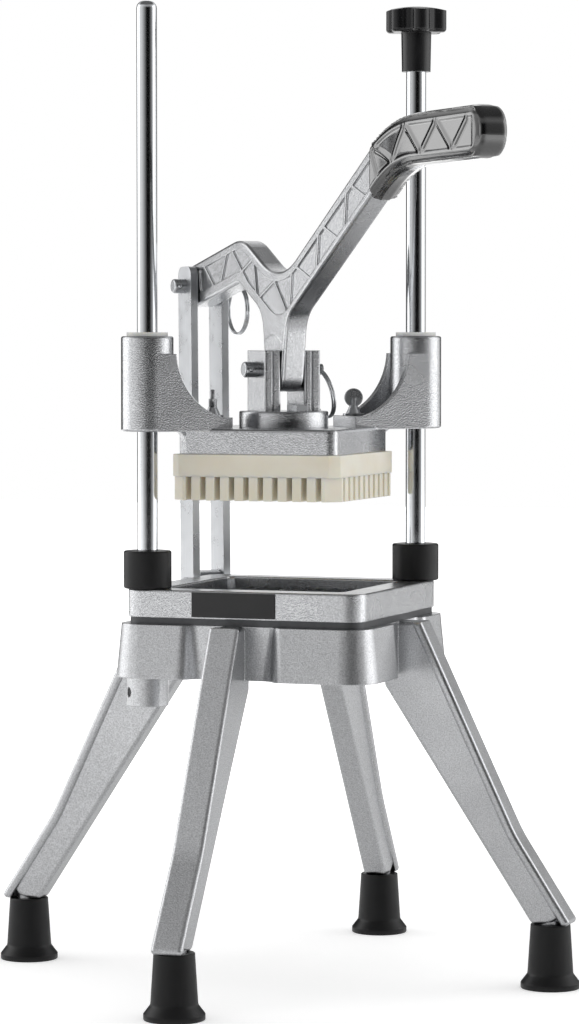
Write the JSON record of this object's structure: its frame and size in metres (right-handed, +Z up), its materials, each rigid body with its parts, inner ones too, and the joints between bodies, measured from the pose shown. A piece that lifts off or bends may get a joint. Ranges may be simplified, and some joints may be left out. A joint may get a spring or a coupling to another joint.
{
  "type": "vegetable cutter",
  "caption": "Lever-press vegetable cutter: crossed blades in a square frame on splayed legs, slotted push block on guide rods, cranked lever with grip, back link and ring pins.",
  "frame": {"origin": "on the table, under the middle of the square cutting frame", "axes": "+Z up; X and Y along the sides of the cutting frame, with the bare plate on the side that faces -Y; the guide rods stand on the diagonal through +X +Y and the grip points to +X -Y"},
  "size_m": [0.3966, 0.3966, 0.6138],
  "materials": {
    "cast_aluminium": "satin, fine cast grain",
    "polished_steel": "polished",
    "black_rubber": "matt",
    "black_plastic": "fine satin",
    "black_vinyl": "glossy dipped vinyl",
    "cream_plastic": "smooth moulded",
    "white_nylon": "smooth",
    "dark_plate": "dark grey satin",
    "blade_steel": "ground",
    "plated_steel": "zinc plated",
    "pin_steel": "turned",
    "ring_steel": "bright wire",
    "black_screw": "black oxide",
    "bare_black": "matt black"
  },
  "bodies": {
    "base": {"base_casting": "cast_aluminium", "foot_front": "black_rubber", "foot_right": "black_rubber", "foot_back": "black_rubber", "foot_left": "black_rubber", "guide_rod_left": "polished_steel", "guide_rod_right": "polished_steel", "rod_set_screws": "black_screw", "blade_plate": "dark_plate", "blades_lower": "blade_steel", "blades_upper": "blade_steel", "upper_frame": "cast_aluminium", "frame_screws": "black_screw", "bare_badge": "bare_black", "bumper_left": "black_rubber", "bumper_right": "black_rubber"},
    "head": {"head_casting": "cast_aluminium", "bush_left_upper": "white_nylon", "bush_left_lower": "white_nylon", "bush_right_upper": "white_nylon", "bush_right_lower": "white_nylon", "push_block": "cream_plastic", "screw_washers": "pin_steel", "clevis": "cast_aluminium", "clevis_bolts": "pin_steel", "clevis_pin": "pin_steel", "clevis_pin_ball": "ring_steel"},
    "lever": {"lever": "cast_aluminium", "grip": "black_vinyl"},
    "link": {"link_bar_left": "plated_steel", "link_bar_right": "plated_steel", "link_pin": "pin_steel", "link_pin_ball": "ring_steel", "lug_pin": "pin_steel", "lug_clips": "pin_steel"},
    "clevis_ring": {"clevis_ring": "ring_steel"},
    "link_ring": {"link_ring": "ring_steel"},
    "thumb_screw_left": {"thumb_screw_left": "pin_steel"},
    "thumb_screw_right": {"thumb_screw_right": "pin_steel"},
    "star_knob": {"star_knob": "black_plastic"}
  },
  "joints": [
    {"name": "head_slide", "type": "slide", "parent": "base", "child": "head", "axis": [0, 0, -1], "range_m": [0, 0.0735]},
    {"name": "lever_pivot", "type": "hinge", "parent": "head", "child": "lever", "pos_m": [0, 0, 0.383], "axis": [0.7071, 0.7071, 0], "range_deg": [0, 38.5]},
    {"name": "link_pivot", "type": "hinge", "parent": "lever", "child": "link", "pos_m": [-0.08924, 0.08924, 0.4367], "axis": [0.7071, 0.7071, 0], "range_deg": [-22.2, 0]},
    {"name": "clevis_ring_swing", "type": "hinge", "parent": "head", "child": "clevis_ring", "pos_m": [0.01619, 0.01619, 0.383], "axis": [0.7071, -0.7071, 0], "range_deg": [0, 15]},
    {"name": "link_ring_swing", "type": "hinge", "parent": "link", "child": "link_ring", "pos_m": [-0.07149, 0.10698, 0.4367], "axis": [0.7071, -0.7071, 0], "range_deg": [-18, 60]},
    {"name": "thumb_screw_left_turn", "type": "hinge", "parent": "head", "child": "thumb_screw_left", "pos_m": [-0.03465, -0.03465, 0.365], "axis": [0, 0, 1], "continuous": true},
    {"name": "thumb_screw_right_turn", "type": "hinge", "parent": "head", "child": "thumb_screw_right", "pos_m": [0.03465, 0.03465, 0.365], "axis": [0, 0, 1], "continuous": true},
    {"name": "star_knob_turn", "type": "hinge", "parent": "base", "child": "star_knob", "pos_m": [0.06597, 0.06597, 0.605], "axis": [0, 0, 1], "continuous": true}
  ],
  "couplings": [
    {"joint": "lever_pivot", "follows": "head_slide", "rad_per_m": 8.7743},
    {"joint": "link_pivot", "follows": "head_slide", "rad_per_m": -5.05}
  ]
}
